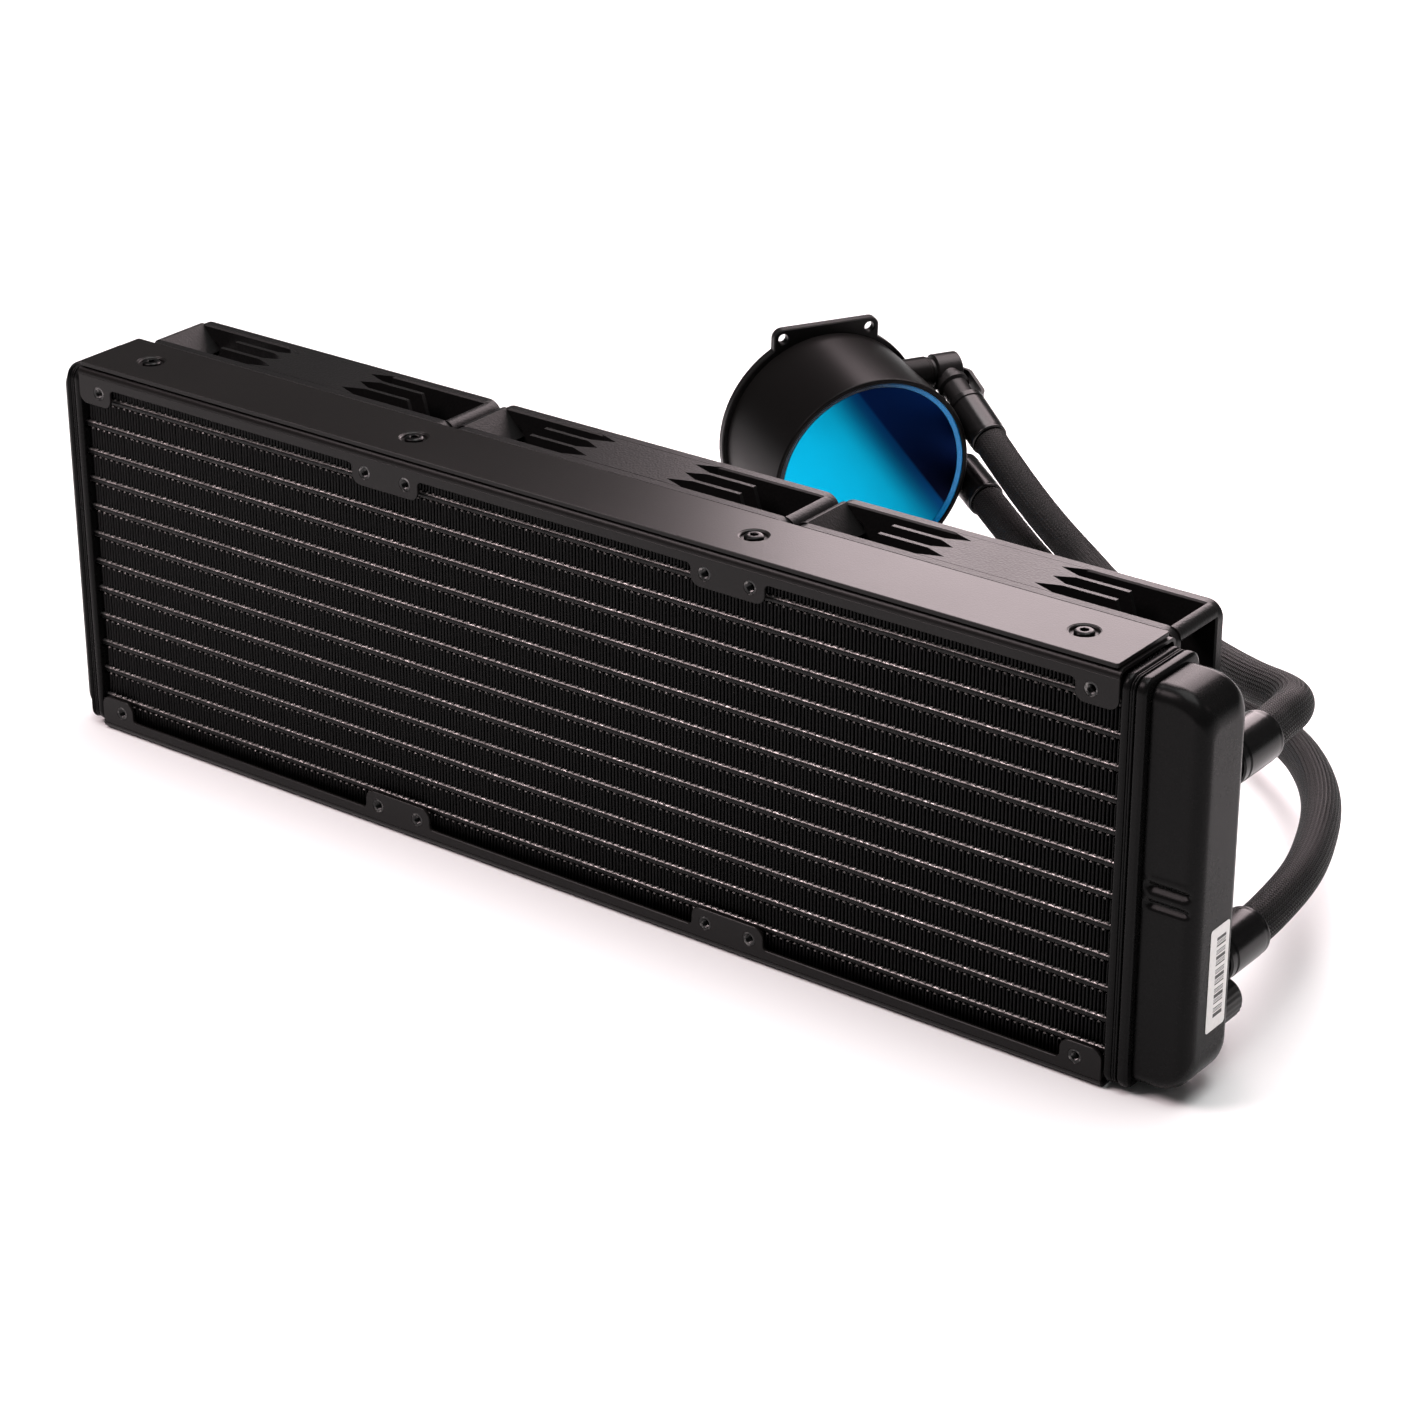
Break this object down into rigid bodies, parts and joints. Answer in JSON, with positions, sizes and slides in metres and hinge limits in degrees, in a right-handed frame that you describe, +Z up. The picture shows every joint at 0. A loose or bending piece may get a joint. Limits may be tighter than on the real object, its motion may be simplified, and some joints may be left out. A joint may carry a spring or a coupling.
{
  "type": "liquid cooling radiator",
  "caption": "Flat black radiator with a row of square fans behind it and a round mirrored pump head joined by braided hoses, all lying on the floor.",
  "frame": {"origin": "On the floor, at the centre of the lower side channel's underside, under the middle of the radiator core.", "axes": "+X along the radiator towards the end tank with the hose ports, +Y from the radiator's open front towards the fans and the pump head, +Z up."},
  "size_m": [0.395, 0.2999, 0.1211],
  "materials": {
    "cold_plate_copper": "lapped bare copper",
    "seal_rubber": "moulded black rubber",
    "core_black": "thin black paint over brazed aluminium",
    "frame_black": "fine black powder coat on sheet metal",
    "screw_steel": "black-oxide steel",
    "tank_black": "satin black paint on pressed aluminium",
    "fan_frame_plastic": "fine-textured black plastic",
    "fan_rotor_plastic": "satin black plastic",
    "motor_core": "varnished laminated core",
    "ferrule_black": "smooth black anodised sleeve",
    "plug_plastic": "moulded black plastic",
    "hose_sleeve": "black braided sleeve over rubber tube",
    "fitting_black": "black anodised",
    "pump_plastic": "moulded black plastic",
    "impeller_plastic": "dark moulded plastic with a magnet core",
    "pump_mirror": "blue-tinted mirror",
    "pump_black": "satin black",
    "pump_trim": "blue-tinted bright chrome"
  },
  "bodies": {
    "cooler": {"cold_plate": "cold_plate_copper", "cold_plate_seal": "seal_rubber", "core_end_fin": "core_black", "core_row_01": "core_black", "core_row_02": "core_black", "core_row_03": "core_black", "core_row_04": "core_black", "core_row_05": "core_black", "core_row_06": "core_black", "core_row_07": "core_black", "core_row_08": "core_black", "core_row_09": "core_black", "core_row_10": "core_black", "core_row_11": "core_black", "core_row_12": "core_black", "cover_plate": "frame_black", "cover_screw_1": "screw_steel", "cover_screw_2": "screw_steel", "cover_screw_3": "screw_steel", "cover_screw_4": "screw_steel", "end_tank_left": "tank_black", "end_tank_right": "tank_black", "fan_frame_1": "fan_frame_plastic", "fan_frame_2": "fan_frame_plastic", "fan_frame_3": "fan_frame_plastic", "fan_stator_1": "motor_core", "fan_stator_2": "motor_core", "fan_stator_3": "motor_core", "ferrule_pump_lower": "ferrule_black", "ferrule_pump_upper": "ferrule_black", "ferrule_radiator_lower": "ferrule_black", "ferrule_radiator_upper": "ferrule_black", "fill_plug": "plug_plastic", "header_plate_left": "tank_black", "header_plate_right": "tank_black", "hose_lower": "hose_sleeve", "hose_upper": "hose_sleeve", "port_lower": "fitting_black", "port_upper": "fitting_black", "pump_bracket": "pump_plastic", "pump_elbow_lower": "pump_plastic", "pump_elbow_upper": "pump_plastic", "pump_mirror": "pump_mirror", "pump_shell": "pump_black", "pump_stator": "motor_core", "pump_trim_ring": "pump_trim", "pump_volute": "pump_plastic", "side_channel_bottom": "frame_black", "side_channel_top": "frame_black", "tank_baffle": "tank_black"},
    "rotor_1": {"fan_rotor_1": "fan_rotor_plastic"},
    "rotor_2": {"fan_rotor_2": "fan_rotor_plastic"},
    "rotor_3": {"fan_rotor_3": "fan_rotor_plastic"},
    "impeller": {"pump_impeller": "impeller_plastic"}
  },
  "joints": [
    {"name": "fan_1_spin", "type": "hinge", "parent": "cooler", "child": "rotor_1", "pos_m": [-0.12, 0.0268, 0.0596], "axis": [0, 1, 0], "continuous": true},
    {"name": "fan_2_spin", "type": "hinge", "parent": "cooler", "child": "rotor_2", "pos_m": [0, 0.0268, 0.0596], "axis": [0, 1, 0], "continuous": true},
    {"name": "fan_3_spin", "type": "hinge", "parent": "cooler", "child": "rotor_3", "pos_m": [0.12, 0.0268, 0.0596], "axis": [0, 1, 0], "continuous": true},
    {"name": "impeller_spin", "type": "hinge", "parent": "cooler", "child": "impeller", "pos_m": [-0.08708, 0.24267, 0.0384], "axis": [0.8661, -0.493, -0.0819], "continuous": true}
  ]
}
